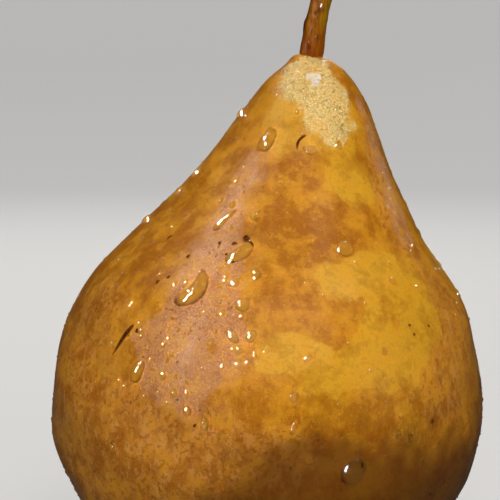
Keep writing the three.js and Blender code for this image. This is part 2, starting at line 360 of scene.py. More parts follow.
SMALL_BEADS = [
    (-5, 0.846, 1.1, 0.7, 50), (-6, 0.644, 2.6, 2.0, -35), (-12, 0.629, 2.2, 1.7, 20),
    (-8, 0.599, 2.9, 2.4, 60), (-8, 0.585, 1.2, 1.0, 0), (-10, 0.564, 2.6, 1.8, -30),
    (-5, 0.564, 2.2, 1.9, 0), (-44, 0.591, 1.3, 0.9, 30), (-34, 0.594, 1.4, 1.1, 0),
    (-28, 0.579, 1.0, 0.9, 0), (-37, 0.562, 2.2, 1.4, -30), (-26, 0.543, 1.1, 1.0, 0),
    (-29, 0.552, 1.4, 1.0, 20), (-40, 0.512, 1.0, 0.8, 0), (-24, 0.525, 1.0, 0.9, 0),
    (-4, 0.546, 1.4, 1.2, 0), (-1, 0.549, 1.1, 1.0, 30), (-6, 0.54, 1.0, 0.8, 0), (-12, 0.536, 1.1, 0.9, 0),
    (10, 0.543, 1.7, 1.1, 60), (6, 0.488, 1.9, 1.0, 20), (-5, 0.519, 0.9, 0.7, 0), (17, 0.674, 1.0, 0.8, 0),
    (30, 0.659, 1.1, 0.9, 0), (16, 0.611, 1.2, 0.9, 20), (29, 0.597, 0.9, 0.8, 0), (32, 0.545, 1.5, 1.3, 0),
    (27, 0.53, 1.0, 0.8, 0), (-42, 0.467, 1.3, 1.0, 0), (-56, 0.485, 1.0, 0.7, 0),
    (-60, 0.539, 1.0, 0.8, 0), (-18, 0.778, 0.9, 0.7, 0), (-14, 0.736, 2.6, 0.8, 0),
    (-36, 0.781, 1.5, 1.1, 0), (-50, 0.727, 1.0, 0.8, 0), (-16, 0.491, 2.4, 1.6, 10),
    (6, 0.512, 2.0, 1.5, 0),
]

# Dark scabs: a long dry scratch, a spot with a tail, a curl on the neck, and specks
SCABS = [
    (-43, 0.552, 5.6, 0.95, 31), (-14, 0.701, 1.6, 1.3, 10), (-11.5, 0.694, 1.6, 0.6, -48),
    (-18, 0.693, 0.9, 0.9, 0), (-24, 0.693, 0.75, 0.6, 0), (-19, 0.675, 0.6, 0.5, 0),
    (-15, 0.662, 0.5, 0.45, 0), (-6, 0.837, 2.9, 0.6, 22), (47, 0.483, 0.75, 0.85, 0),
    (43, 0.567, 0.5, 0.5, 0), (51, 0.563, 0.5, 0.5, 0), (44, 0.557, 0.6, 0.5, 0), (24, 0.457, 1.1, 0.6, 5),
    (-38.5, 0.563, 0.8, 0.85, 0), (-18.5, 0.489, 0.6, 0.6, 0), (-33, 0.669, 0.8, 0.85, -25),
    (-50, 0.696, 1.0, 1.1, -25), (-38, 0.624, 0.85, 0.9, -25), (-35, 0.633, 0.7, 0.75, -25),
    (118, 0.62, 1.1, 1.0, 0), (163, 0.7, 0.9, 0.8, 20), (205, 0.5, 3.8, 0.6, 40), (240, 0.66, 0.9, 0.9, 0),
]
# How some of them narrow downwards, and how some bend, by their place in the list
SCAB_SAGS = {0: -0.5, 2: -0.3, 21: -0.4}
SCAB_BENDS = {2: 0.5, 7: -0.7}
# Those up to this length are faint: their pale rim starts nearer to their middle
SPECK_LENGTH = 1.05
SCAB_RIM_FROM, SPECK_RIM_FROM = 0.45, 0.1

# Soft brown stains in the skin, with their width in millimetres
STAINS = [
    (20, 0.476, 1.3), (36, 0.458, 2.6), (47, 0.483, 2.2), (12, 0.47, 1.6), (-14, 0.701, 2.2),
    (130, 0.5, 3.4), (176, 0.62, 3.0), (222, 0.56, 3.8), (250, 0.44, 3.0), (98, 0.68, 2.4),
]


def fraction(number):
    return number - math.floor(number)


def far_bead(index):
    """A bead on the sides or the back, spread by a fixed rule."""
    turn, along, length, slant = (fraction((index + 1) * step) for step in BEAD_STEPS)
    size = blend(FAR_LENGTHS, length)
    lean = FAR_SLANT * (2 * slant - 1)
    return blend(FAR_TURNS, turn), blend(FAR_HEIGHTS, along), size, size * blend(ROUNDNESS, slant), lean


LARGE_BEADS = BEADS + [far_bead(i) for i in range(FAR_BEADS)]


TURN_STEP, SHARE_STEP = 0.01, 0.002


def seat_at(turn, along):
    """A place on the skin and the directions across, up and out of it."""
    turn = math.radians(turn)
    centre = skin_at(turn, along)
    across = unit(skin_at(turn + TURN_STEP, along) - centre)
    outward = unit(np.cross(across, skin_at(turn, along + SHARE_STEP) - centre))
    return centre, across, np.cross(outward, across), outward


def leaned(across, upward, slant):
    """The two directions turned so that the upward one leans to the right."""
    cosine, sine = math.cos(math.radians(slant)), math.sin(math.radians(slant))
    return across * cosine - upward * sine, upward * cosine + across * sine


# The skin


# Patches of its colour: degrees round it, share of the way up its outline, and their reach each way
YELLOW_PATCHES = [
    (-26, 0.868, 20, 0.04), (40, 0.781, 22, 0.028), (46, 0.612, 24, 0.06), (42, 0.535, 20, 0.026),
    (26, 0.51, 17, 0.026), (24, 0.64, 12, 0.03), (14, 0.86, 34, 0.05), (5, 0.546, 10, 0.017),
]
# The patch far on the left, at -80 degrees, also darkens the left edge as painted shade
DEEP_PATCHES = [
    (4, 0.72, 26, 0.04), (-1, 0.811, 15, 0.02), (16, 0.685, 16, 0.03), (-40, 0.79, 9, 0.03),
    (-80, 0.54, 14, 0.14), (-66, 0.77, 9, 0.03), (26, 0.495, 26, 0.02), (-45, 0.66, 14, 0.06),
]
# The four highest on the right make a pale strip down the right edge: tan skin with painted reflection
TAN_PATCHES = [
    (-46, 0.45, 36, 0.08), (-12, 0.46, 30, 0.03), (66, 0.58, 10, 0.06), (-62, 0.57, 15, 0.05),
    (53, 0.51, 10, 0.03), (60, 0.88, 9, 0.03), (64, 0.83, 13, 0.04), (64, 0.76, 13, 0.04),
    (60, 0.69, 11, 0.04),
]
# Darker towards the base at the front and right, and down the right edge: russet skin with painted shade
RUSSET_AND_SHADE_PATCHES = [
    (2, 0.427, 26, 0.054), (20, 0.415, 24, 0.06), (42, 0.396, 34, 0.08), (76, 0.42, 26, 0.085),
    (86, 0.5, 11, 0.1), (22, 0.315, 46, 0.075), (60, 0.31, 40, 0.08),
]
# A pink blush with painted reflection on it: a band down the left of the front and a strip down the right
# edge
SHEEN_PATCHES = [
    (-33, 0.79, 7, 0.03), (-29, 0.745, 6, 0.03), (-25, 0.7, 8, 0.035), (-23, 0.655, 11, 0.04),
    (-19, 0.6, 11, 0.04), (-20, 0.56, 12, 0.03), (-23, 0.52, 9, 0.025), (-32, 0.55, 9, 0.025),
    (56, 0.9, 6, 0.015), (65, 0.855, 8, 0.025), (67, 0.8, 8, 0.03), (65, 0.75, 8, 0.03),
    (63, 0.7, 6, 0.025),
]
# Frost of fine drops over the neck, painted paler as a highlight too
MIST_AND_HIGHLIGHT_PATCHES = [
    (-44, 0.935, 26, 0.024), (-14, 0.925, 26, 0.036), (-26, 0.897, 15, 0.02), (8, 0.895, 20, 0.03),
    (12, 0.87, 17, 0.02), (24, 0.853, 9, 0.014), (36, 0.866, 6, 0.01), (31, 0.905, 6, 0.01),
]
# The white core of the painted highlight on the neck
GLARE_PATCHES = [(-17, 0.926, 10, 0.01), (-12, 0.915, 5, 0.01), (-24, 0.918, 4, 0.005)]
FRECKLE_PATCHES = [(-44, 0.66, 22, 0.09), (-16, 0.69, 12, 0.05), (-40, 0.5, 30, 0.05)]

# Each kind with how much of the back it covers, and how ragged and how soft its edges are
PATCH_KINDS = [
    ("yellow", YELLOW_PATCHES, 0.45, 1, 0.62),
    ("deep", DEEP_PATCHES, 0.35, 1, 0.62),
    ("tan", TAN_PATCHES, 0.35, 1, 0.62),
    ("sheen", SHEEN_PATCHES, -0.1, 1.5, 0.62),
    ("mist", MIST_AND_HIGHLIGHT_PATCHES, -0.5, 2.2, 0.62),
    ("dusk", RUSSET_AND_SHADE_PATCHES, -0.2, 0.7, 1.3),
    ("freckles", FRECKLE_PATCHES, 0.3, 1, 0.62),
    ("glare", GLARE_PATCHES, -2, 1.6, 0.62),
]
FIRST_PATCH_SEED, PATCH_SEED_STEP = 20, 10
BEHIND_FROM, BEHIND_SPAN, BLOTCH_SIZE = 70, 25, 16
# Sizes and strengths of the noises that make the edges ragged, their least strength, and the edges' level
EDGE_NOISES, LEAST_RAGGED, EDGE_LEVEL = ((6, 0.4), (2.6, 0.3)), 0.25, 0.12


def degrees_from(turn, degrees):
    """Degrees round the fruit from a turn, between -180 and 180."""
    return (degrees - turn + 180) % 360 - 180


def patched(points, degrees, shares, patches, seed, behind_cover, raggedness, softness):
    """0 to 1 at each point: ragged patches in front, and blotches of the same kind behind."""
    total = np.zeros(len(points))
    for turn, share, turn_reach, share_reach in patches:
        across = degrees_from(turn, degrees)
        total += np.exp(-((across / turn_reach) ** 2) - ((shares - share) / share_reach) ** 2)
    behind = smoothstep((np.abs(degrees_from(0, degrees)) - BEHIND_FROM) / BEHIND_SPAN)
    blotches = smoothstep(noise_at(points, BLOTCH_SIZE, seed) + behind_cover)
    edge = sum(height * noise_at(points, size, seed + 1 + i) for i, (size, height) in enumerate(EDGE_NOISES))
    mask = total * (1 - behind) + blotches * behind
    return smoothstep((mask + raggedness * edge * (LEAST_RAGGED + mask) - EDGE_LEVEL) / softness)


# How far past its bead the skin is wet, as a share of the bead's size, and over what share it dries
WET_REACH, WET_SPAN = 1.15, 0.4
SEEDED_WET_REACH, SEEDED_WET_SPAN = 1.3, 0.5


def wet_at(points):
    """1 under the placed beads, 0 on the skin between them."""
    wet = np.zeros(len(points))
    for turn, along, length, width, slant in LARGE_BEADS + SMALL_BEADS:
        centre, across, upward, outward = seat_at(turn, along)
        side, top = leaned(across, upward, slant)
        offset = points - centre
        reach = np.hypot(offset @ side / (width / 2), offset @ top / (length / 2))
        close = np.abs(offset @ outward) < length
        wet = np.maximum(wet, smoothstep((WET_REACH - reach) / WET_SPAN) * close)
    return wet


def wet_under(points, seeded):
    """1 under the seeded beads, 0 elsewhere."""
    wet = np.zeros(len(points))
    for (centre, *_), (length, *_) in seeded:
        reach = np.linalg.norm(points - centre, axis=1) / (length / 2)
        wet = np.maximum(wet, smoothstep((SEEDED_WET_REACH - reach) / SEEDED_WET_SPAN))
    return wet


def stained_at(points):
    """1 in the middle of each stain, fading outwards."""
    stain = np.zeros(len(points))
    for turn, along, width in STAINS:
        away = np.linalg.norm(points - seat_at(turn, along)[0], axis=1)
        stain = np.maximum(stain, np.exp(-((2 * away / width) ** 2)))
    return stain


LIP_RISE, LIP_RADIUS, LIP_WIDTH = 0.85, 2.6, 1.5
LIP_EVEN, LIP_OUTER = 0.15, 0.95
LIP_DEPTH, LIP_SPAN = 6, 4
# Sizes and heights of the noises in the skin's relief, and the height over which the relief sets in
RELIEF_NOISES, RELIEF_SPAN = ((9, 0.13), (4.2, 0.08), (2, 0.04)), 6


def lip_at(points):
    """How far the flesh rises round the foot of the stem, more on its outer side."""
    offset = points - STEM_FOOT
    away = np.hypot(offset[:, 0], offset[:, 1])
    near = smoothstep((points[:, 2] - STEM_FOOT[2] + LIP_DEPTH) / LIP_SPAN)
    side = np.clip(LIP_EVEN - LIP_OUTER * offset[:, 0] / np.maximum(away, 0.1), 0, 1)
    return near * side * LIP_RISE * np.exp(-(((away - LIP_RADIUS) / LIP_WIDTH) ** 2))


def relief_at(points):
    """Fine unevenness of the skin, in millimetres."""
    return sum(height * noise_at(points, size, 1 + i) for i, (size, height) in enumerate(RELIEF_NOISES))


def skin_mesh():
    turns, shares = np.meshgrid(circle(SKIN_COLUMNS), np.arange(1, SKIN_ROWS + 1) / (SKIN_ROWS + 1))
    rings = skin_at(turns, shares)
    sideways = np.roll(rings, -1, 1) - np.roll(rings, 1, 1)
    outward = unit(np.cross(sideways, np.gradient(rings, axis=0)))
    flat = rings.reshape(-1, 3)
    standing = smoothstep(flat[:, 2] / RELIEF_SPAN)
    relief = (relief_at(flat) * standing + lip_at(flat)).reshape(rings.shape[:2])
    shaped = rings + outward * relief[..., None]
    body = closed_body(skin_at(0, 0), shaped, skin_at(0, 1))
    return body, outward.reshape(-1, 3), turns.ravel(), shares.ravel()


def add_attribute(piece, name, values):
    """Gives a closed body a value at each point. Its two end points take their neighbours' values."""
    attribute = piece.data.attributes.new(name, "FLOAT", "POINT")
    padded = np.concatenate([values[:1], values, values[-1:]]).astype(np.float32)
    attribute.data.foreach_set("value", padded)


def skin_colour(shader):
    """The broad patches. Each has a tint, its strength, how crisp its edge is, and what makes it ragged."""
    broad = shader.noise(7, detail=3)
    colour = shader.mix(srgb(202, 129, 26), srgb(214, 146, 34), shader.step(broad, 0.35, 0.65))
    rough = shader.noise(2.2, detail=5, roughness=0.68)
    fine = shader.noise(0.7, detail=4, roughness=0.8)
    layers = [
        ("yellow", srgb(230, 173, 44), 0.88, 0.6, rough, 1.0),
        ("deep", srgb(174, 102, 4), 0.75, 0.5, rough, 1.0),
        ("tan", srgb(210, 138, 48), 0.85, 0.7, rough, 1.0),
        # The sheen is painted reflection over a pink blush, the mist is frost painted paler as a highlight,
        # and the glare a painted highlight
        ("sheen", srgb(204, 136, 88), 0.85, 0.75, rough, 1.0),
        ("mist", srgb(236, 207, 128), 0.9, 0.8, fine, 3.0),
        ("glare", srgb(252, 250, 240), 1.0, 0.9, fine, 1.2),
    ]
    for name, shade, strength, crispness, edge, ragged in layers:
        mask = shader.attribute(name)
        crisp = shader.times(shader.crisp(mask, edge, ragged), crispness * strength)
        share = shader.math("MULTIPLY_ADD", mask, (1 - crispness) * strength, crisp)
        colour = shader.mix(colour, shade, share)
    return colour


def skin_blotches(shader, colour, tones):
    """Flat-toned blotches and flecks over the broad colour, quieter where it is misted or yellow."""
    tan, sheen, mist, yellow = (shader.attribute(name) for name in ("tan", "sheen", "mist", "yellow"))
    clear = shader.math("MAXIMUM", shader.times(yellow, 0.6), shader.times(sheen, 0.6))
    cloudy = shader.math("MULTIPLY_ADD", shader.math("MAXIMUM", mist, clear), -0.34, 0.42)
    for low, high in ((0.51, 0.55), (0.59, 0.62)):
        colour = shader.tint(colour, (168, 95, 8), shader.step(tones, low, high), cloudy)
    for high, low in ((0.48, 0.45), (0.41, 0.38)):
        colour = shader.tint(colour, (238, 168, 38), shader.step(tones, high, low), 0.3)
    upright = shader.vector("MULTIPLY", shader.warped(2, 0.5), (1, 1, 0.45))
    fleck = shader.step(shader.noise(1.3, detail=4, roughness=0.65, place=upright), 0.53, 0.58)
    pale = shader.mix(srgb(232, 168, 38), srgb(226, 160, 78), tan)
    colour = shader.mix(colour, pale, shader.times(fleck, shader.math("MULTIPLY_ADD", tan, 0.45, 0.16)))
    dim = shader.step(shader.noise(0.9, detail=3, place=shader.warped(1.5, 0.4)), 0.55, 0.62)
    clean = shader.step(shader.math("MAXIMUM", mist, sheen), 0.7, 0.0)
    dimmed = shader.times(shader.math("MULTIPLY_ADD", tan, 0.35, 0.12), clean)
    return shader.tint(colour, (150, 80, 6), dim, dimmed)


def skin_grain(shader, colour, tones):
    """Fine grain everywhere, and frost where it is misted, with a pale stipple there and in the sheen that is
    painted sparkle of fine drops.
    """
    mist = shader.attribute("mist")
    grain = shader.noise(0.3, detail=2, roughness=0.7)
    colour = shader.tint(colour, (244, 186, 40), shader.step(grain, 0.5, 0.72), 0.18)
    colour = shader.tint(colour, (156, 84, 8), shader.step(grain, 0.48, 0.28), 0.18)
    stipple = shader.noise(0.24, detail=1)
    holes = shader.times(shader.step(stipple, 0.47, 0.4), shader.step(tones, 0.44, 0.5))
    colour = shader.tint(colour, (190, 142, 38), holes, shader.times(mist, 0.5))
    # A pale stipple in the mist and the sheen: painted sparkle of fine drops
    frosted = shader.math("MAXIMUM", shader.times(mist, 0.55), shader.times(shader.attribute("sheen"), 0.18))
    return shader.tint(colour, (255, 242, 196), shader.step(stipple, 0.52, 0.62), frosted)


def skin_marks(shader, colour, freckles):
    """Freckles, specks, stains, painted glints in the sheen, wet places painted a lighter gold, and the dusky
    base, which is russet with painted shade.
    """
    colour = shader.tint(colour, (78, 38, 12), freckles, shader.times(shader.attribute("freckles"), 0.85))
    clear = shader.step(shader.attribute("mist"), 0.5, 0.0)
    colour = shader.tint(colour, (124, 64, 8), shader.dots(1.5, 0.06, 0.2, 0.7), shader.times(clear, 0.14))
    colour = shader.tint(colour, (120, 62, 10), shader.attribute("stain"), 0.6)
    # Painted glints: pale dots over the sheen
    painted_glints = shader.times(shader.attribute("sheen"), 0.85)
    colour = shader.tint(colour, (255, 238, 208), shader.dots(1.7, 0.05, 0.15, 0.6), painted_glints)
    # The skin under the beads is painted a lighter gold, making up for the shade of the water over it
    colour = shader.tint(colour, (240, 176, 50), shader.attribute("wet"), 0.8)
    # Painted shade with russet: the base darkened
    dusk = shader.attribute("dusk")
    grainy = shader.crisp(dusk, shader.noise(0.6, detail=4, roughness=0.8), 1.6)
    russet_and_shade_share = shader.math("MULTIPLY_ADD", dusk, 0.58, shader.times(grainy, 0.22))
    return shader.mix(colour, srgb(96, 51, 12), russet_and_shade_share)


def skin_material():
    shader = Shader("pear_skin")
    tones = shader.noise(4, detail=5, roughness=0.62)
    mottled = skin_grain(shader, skin_blotches(shader, skin_colour(shader), tones), tones)
    ragged = shader.step(shader.noise(0.4, detail=2), 0.25, 0.55)
    freckles = shader.times(shader.dots(2.7, 0.12, 0.34, 0.75), ragged)
    pore = shader.noise(0.7, detail=3, roughness=0.6)
    height = shader.math("SUBTRACT", pore, shader.times(freckles, 0.6))
    patchy = shader.noise(3.2, detail=4, roughness=0.6)
    gloss = shader.math("MULTIPLY_ADD", shader.step(patchy, 0.35, 0.65), 0.16, 0.28)
    frosted = shader.math("MAXIMUM", shader.attribute("sheen"), shader.attribute("mist"))
    shader.set(
        Base_Color=skin_marks(shader, mottled, freckles),
        Roughness=shader.math("MULTIPLY_ADD", frosted, 0.06, gloss),
        Subsurface_Weight=0.12,
        Subsurface_Radius=(1.0, 0.45, 0.15),
        Subsurface_Scale=0.003,
        IOR=1.4,
        Coat_Weight=shader.math("MULTIPLY_ADD", shader.attribute("wet"), -0.16, 0.16),
        Coat_Roughness=0.16,
        Coat_IOR=1.35,
        Normal=shader.bump(height, 0.05),
    )
    return shader.material


def build_skin():
    """The skin's body, the directions out of it, its masks, and the seeded beads that wet it."""
    body, outward, turns, shares = skin_mesh()
    skin = put_mesh("pear_skin", [body], skin_material(), replaces=["fruit"])
    points = body[0][1:-1]
    masks = {}
    for i, (name, patches, *edges) in enumerate(PATCH_KINDS):
        seed = FIRST_PATCH_SEED + PATCH_SEED_STEP * i
        masks[name] = patched(points, np.degrees(turns), shares, patches, seed, *edges)
    masks["wet"] = wet_at(points)
    masks["stain"] = stained_at(points)
    seeded = seeded_beads(points, outward, masks)
    masks["wet"] = np.maximum(masks["wet"], wet_under(points, seeded))
    for name, values in masks.items():
        add_attribute(skin, name, values)
    return body, outward, masks, seeded


# The stem


STEM_SIDES, STEM_ROWS = 96, 200
STEM_RIDGES, RIDGE_RISE, STEM_TWIST = 5, 0.035, 2.2
# Strength of each noise in the bark, how much it is drawn out along the stem, and its size
BARK_NOISES, BARK_SEED = ((0.1, 0.25, 1.1), (0.06, 0.6, 0.6), (0.03, 1, 0.3)), 5
SCAR_SHARE, SCAR_TURN, SCAR_WIDTH, SCAR_RISE = 0.31, math.pi, 0.5, 0.3
SCAR_FROM, SCAR_SPAN = 0.35, 0.4
# Stripes along the stem, which wander sideways by noise: an olive one, and painted shade down the left side
WANDER, WANDER_SIZE, WANDER_SEED = 0.25, 2.5, 8
SHADED_WIDTH = 0.55
OLIVE_TURN, OLIVE_WIDTH, OLIVE_FROM, OLIVE_SPAN = -math.radians(48), 0.4, 0.24, 0.1
STEM_FOOT_TOP, STEM_FOOT_END = 99.5, 94


def stem_material():
    shader = Shader("pear_stem")
    lengthwise = shader.vector("MULTIPLY", shader.place, (1, 1, 0.12))
    fibre = shader.noise(0.5, detail=4, roughness=0.65, place=lengthwise)
    stripe = shader.noise(1.3, detail=2, place=lengthwise)
    patch = shader.noise(3.2, detail=3)
    colour = shader.mix(srgb(128, 70, 2), srgb(182, 112, 8), shader.step(fibre, 0.35, 0.66))
    colour = shader.tint(colour, (84, 38, 2), shader.step(patch, 0.48, 0.7), 0.6)
    colour = shader.tint(colour, (160, 124, 16), shader.attribute("olive"), 0.8)
    colour = shader.tint(colour, (96, 44, 4), shader.step(stripe, 0.52, 0.64), 0.5)
    # Painted shade down the stem's left side
    colour = shader.tint(colour, (46, 18, 2), shader.attribute("shaded"), 0.9)
    height = shader.vector("DOT_PRODUCT", shader.place, (0, 0, 1), output="Value")
    colour = shader.tint(colour, (134, 62, 6), shader.step(height, STEM_FOOT_TOP, STEM_FOOT_END), 0.6)
    colour = shader.tint(colour, (206, 150, 64), shader.dots(0.9, 0.06, 0.2, 0.6), 0.45)
    colour = shader.mix(colour, srgb(48, 22, 8), shader.attribute("scar"))
    wet = shader.step(shader.noise(2.2, detail=3), 0.42, 0.58)
    shader.set(
        Base_Color=colour,
        Roughness=0.55,
        Specular_IOR_Level=0.12,
        Coat_Weight=shader.times(wet, 0.3),
        Coat_Roughness=0.08,
        Coat_IOR=1.33,
        Normal=shader.bump(fibre, 0.14),
    )
    return shader.material


def stem_lines():
    """Along the stem: its middle line, its radius, and the directions sideways, back and ahead."""
    line, shares = curve_through(np.array(STEM_LINE) * STEM_REACH + STEM_FOOT)
    thick, _ = curve_through(STEM_THICKNESS)
    t = np.linspace(0, 1, STEM_ROWS)
    centres = np.stack([np.interp(t, shares, line[:, i]) for i in range(3)], 1)
    radius = STEM_RADIUS * np.interp(t, thick[:, 0], thick[:, 1])
    ahead = unit(np.gradient(centres, axis=0))
    side = unit(np.cross(np.array([0.0, 1.0, 0.0]), ahead))
    return centres, radius, side, np.cross(ahead, side), ahead


def bark_at(points):
    """The stem's roughness, in millimetres."""
    return sum(
        height * noise_at(points * [1, 1, drawn], size, BARK_SEED + i)
        for i, (height, drawn, size) in enumerate(BARK_NOISES)
    )


def radians_from(turn, angle):
    """Radians round the stem from a turn, at most half a turn either way."""
    return (angle - turn + math.pi) % (2 * math.pi) - math.pi


def build_stem():
    """The stem: its body, and the lines along it that its beads are set by."""
    centres, radius, side, back, ahead = stem_lines()
    t = np.linspace(0, 1, STEM_ROWS)[:, None]
    angle = circle(STEM_SIDES)
    around = radians_from(SCAR_TURN, angle)
    ridges = 1 + RIDGE_RISE * np.cos(STEM_RIDGES * angle + STEM_TWIST * t)
    spokes = np.cos(angle)[None, :, None] * side[:, None] + np.sin(angle)[None, :, None] * back[:, None]
    rings = centres[:, None] + spokes * (radius[:, None] * ridges)[..., None]
    flat = rings.reshape(-1, 3)
    scar = np.exp(-((around / SCAR_WIDTH) ** 2) - ((t - SCAR_SHARE) * STEM_REACH) ** 2)
    raised = bark_at(flat).reshape(scar.shape) + SCAR_RISE * scar
    rings = rings + spokes * raised[..., None]
    body = closed_body(centres[0] - 0.2 * ahead[0], rings, centres[-1] - 0.3 * ahead[-1])
    stem = put_mesh("pear_stem", [body], stem_material(), replaces=["stem"])
    wander = WANDER * noise_at(flat, WANDER_SIZE, WANDER_SEED).reshape(scar.shape)
    olive = np.exp(-(((radians_from(OLIVE_TURN, angle) + wander) / OLIVE_WIDTH) ** 2))
    olive = olive * smoothstep((t - OLIVE_FROM) / OLIVE_SPAN)
    add_attribute(stem, "scar", smoothstep((scar.ravel() - SCAR_FROM) / SCAR_SPAN))
    add_attribute(stem, "shaded", np.exp(-(((around + wander) / SHADED_WIDTH) ** 2)).ravel())
    add_attribute(stem, "olive", olive.ravel())
    return body, centres, side, back, ahead


# The calyx


CUP_RADIUS, CUP_WALL, CUP_TOP, CUP_RIM, CUP_DEPTH = 2.5, 0.9, 9.75, 6.75, 1.5
CUP_SIDES, CUP_SPAN_ROWS = 72, 6
PUCKER_DEPTH, WRINKLES, WRINKLE_DEPTH = 0.05, 13, 0.03
SEPALS, SEPAL_LENGTH, SEPAL_WIDTH = 5, 4.6, 3.0
SEPAL_START, SEPAL_CURL, SEPAL_ROOT, SEPAL_THIN = 0.35, 1.15, 0.35, 0.13
SEPAL_ROWS, SEPAL_SIDES, SEPAL_SEED, SEPAL_HOLLOW = 40, 28, 60, 0.14
STAMENS, STAMEN_RING, STAMEN_LENGTH, STAMEN_THIN = 11, 0.95, 2.3, 0.13
STAMEN_ROWS, STAMEN_SIDES, STAMEN_STEP = 14, 8, 1.7
HEAD_SHARE, HEAD_LENGTH, HEAD_SIZE = 0.92, 0.07, 1.3


def turned_about(points, turn):
    x, y, z = points[..., 0], points[..., 1], points[..., 2]
    return np.stack([x * math.cos(turn) - y * math.sin(turn), x * math.sin(turn) + y * math.cos(turn), z], -1)


def roughened(rings, size, amount, seed):
    """Rings pushed about by noise."""
    flat = rings.reshape(-1, 3)
    pushes = np.stack([noise_at(flat, size, seed + i) for i in range(3)], -1)
    return rings + amount * pushes.reshape(rings.shape)


def cup_body():
    """The cup: its outer wall, its rim and its hollow, with wrinkles all round."""
    bore, ceiling = CUP_RADIUS - CUP_WALL, CUP_RIM + CUP_DEPTH
    outline, _ = curve_through([
        (1.6, CUP_TOP),
        (CUP_RADIUS - 0.3, CUP_TOP - 0.3),
        (CUP_RADIUS, CUP_TOP - 1.2),
        (CUP_RADIUS, CUP_RIM + 0.4),
        (CUP_RADIUS - 0.4, CUP_RIM),
        (bore, CUP_RIM + 0.4),
        (bore - 0.2, ceiling - 0.3),
        (bore - 0.9, ceiling),
    ], CUP_SPAN_ROWS)
    angle = circle(CUP_SIDES)
    puckers = 1 + PUCKER_DEPTH * np.cos(SEPALS * angle) + WRINKLE_DEPTH * np.cos(WRINKLES * angle + 1)
    radius = outline[:, 0][:, None] * puckers
    height = np.broadcast_to(outline[:, 1][:, None], radius.shape)
    rings = np.stack([radius * np.cos(angle), radius * np.sin(angle), height], -1)
    rings = roughened(rings, 0.7, 0.12, 50)
    return closed_body(np.array([0, 0, CUP_TOP]), rings, np.array([0, 0, ceiling]))


def sepal_body(turn, seed):
    """One thin, crinkled blade: loops round it from its root to its tip."""
    bend = SEPAL_CURL / SEPAL_LENGTH
    along = np.linspace(0, 0.98 * SEPAL_LENGTH, SEPAL_ROWS)[:, None]
    angle = circle(SEPAL_SIDES)
    share = along / SEPAL_LENGTH
    heading = SEPAL_START + bend * along
    across = SEPAL_WIDTH / 2 * (1 - share**1.4) ** 0.9 * np.cos(angle)
    crinkle = 0.16 * np.sin(5.2 * across + seed) * share + 0.12 * np.sin(3.1 * along + 2 * seed)
    thick = SEPAL_THIN * np.sin(angle) + crinkle - SEPAL_HOLLOW * across**2
    out = CUP_RADIUS - CUP_WALL / 2 + (math.cos(SEPAL_START) - np.cos(heading)) / bend
    out = out + thick * np.cos(heading)
    down = (np.sin(heading) - math.sin(SEPAL_START)) / bend - thick * np.sin(heading)
    rings = np.stack([out, -across, CUP_RIM + SEPAL_ROOT - down], -1)
    rings = turned_about(roughened(rings, 0.8, 0.1, seed), turn)
    return closed_body(rings[0].mean(0), rings, rings[-1].mean(0))


def stamen_body(turn, seed):
    """A dry thread with a small head."""
    t = np.linspace(0, 1, STAMEN_ROWS)[:, None]
    angle = circle(STAMEN_SIDES)
    head = np.exp(-(((t - HEAD_SHARE) / HEAD_LENGTH) ** 2))
    radius = STAMEN_THIN * (0.8 - 0.3 * t + HEAD_SIZE * head)
    lean = 0.5 * t**2 * math.sin(3 * seed)
    x = STAMEN_RING + 0.3 * t * math.cos(seed) + radius * np.cos(angle)
    y = lean + radius * np.sin(angle)
    z = np.broadcast_to(CUP_RIM + CUP_DEPTH + 0.2 - STAMEN_LENGTH * t, x.shape)
    rings = turned_about(np.stack([x, y, z], -1), turn)
    return closed_body(rings[0].mean(0), rings, rings[-1].mean(0))


def calyx_material():
    shader = Shader("pear_calyx")
    fibre = shader.noise(0.4, detail=4, roughness=0.7)
    colour = shader.mix(srgb(44, 26, 12), srgb(118, 82, 44), shader.step(fibre, 0.35, 0.7))
    colour = shader.mix(colour, srgb(26, 16, 10), shader.step(shader.noise(1.4, detail=3), 0.5, 0.7))
    shader.set(Base_Color=colour, Roughness=0.85, Normal=shader.bump(fibre, 0.1))
    return shader.material


def build_calyx():
    bodies = [cup_body()]
    bodies += [sepal_body(2 * math.pi * i / SEPALS, SEPAL_SEED + i) for i in range(SEPALS)]
    bodies += [stamen_body(2 * math.pi * i / STAMENS, STAMEN_STEP * i) for i in range(STAMENS)]
    put_mesh("pear_calyx", bodies, calyx_material(), replaces=["calyx"])


# Water and scabs


# Outlines of drops are ovals, squarer for slender drops
OVAL_POWERS, SLENDER_FROM, SLENDER_SPAN = (2.1, 2.9), 1.3, 0.7
# How deep a drop's underside lies in its ground, and how far it is wider there, as a share of the drop
WATER_SUNK, SKIRT_REACH = 0.12, 1.02
# How much more the cap hangs than the outline does, and where a bent drop stays in its middle line
CAP_SAG, BEND_LEVEL = 1.4, 0.4
# How dark the painted shade at the rim is: evenly, and more at its lower right than at its upper left
RIM_FROM, RIM_EVEN, RIM_ONE_SIDED = 0.8, 0.48, 0.42


def dome_steps(rows):
    """Shares of a drop's radius from near its middle to its edge, closer together at the edge."""
    return np.sin(np.linspace(0, 1, rows + 1)[1:] * math.pi / 2)[:, None]


def oval_edge(angle, slenderness, ragged, seed):
    """How far a drop's wobbly outline reaches at each angle, as a share of its radius."""
    phases = np.random.default_rng(seed).random(3) * 2 * math.pi
    edge = 1 + sum(ragged / (n + 1) * 2 * np.sin((n + 2) * angle + phases[n]) for n in range(3))
    power = blend(OVAL_POWERS, float(np.clip((slenderness - SLENDER_FROM) / SLENDER_SPAN, 0, 1)))
    return edge * (np.abs(np.cos(angle)) ** power + np.abs(np.sin(angle)) ** power) ** (-1 / power)


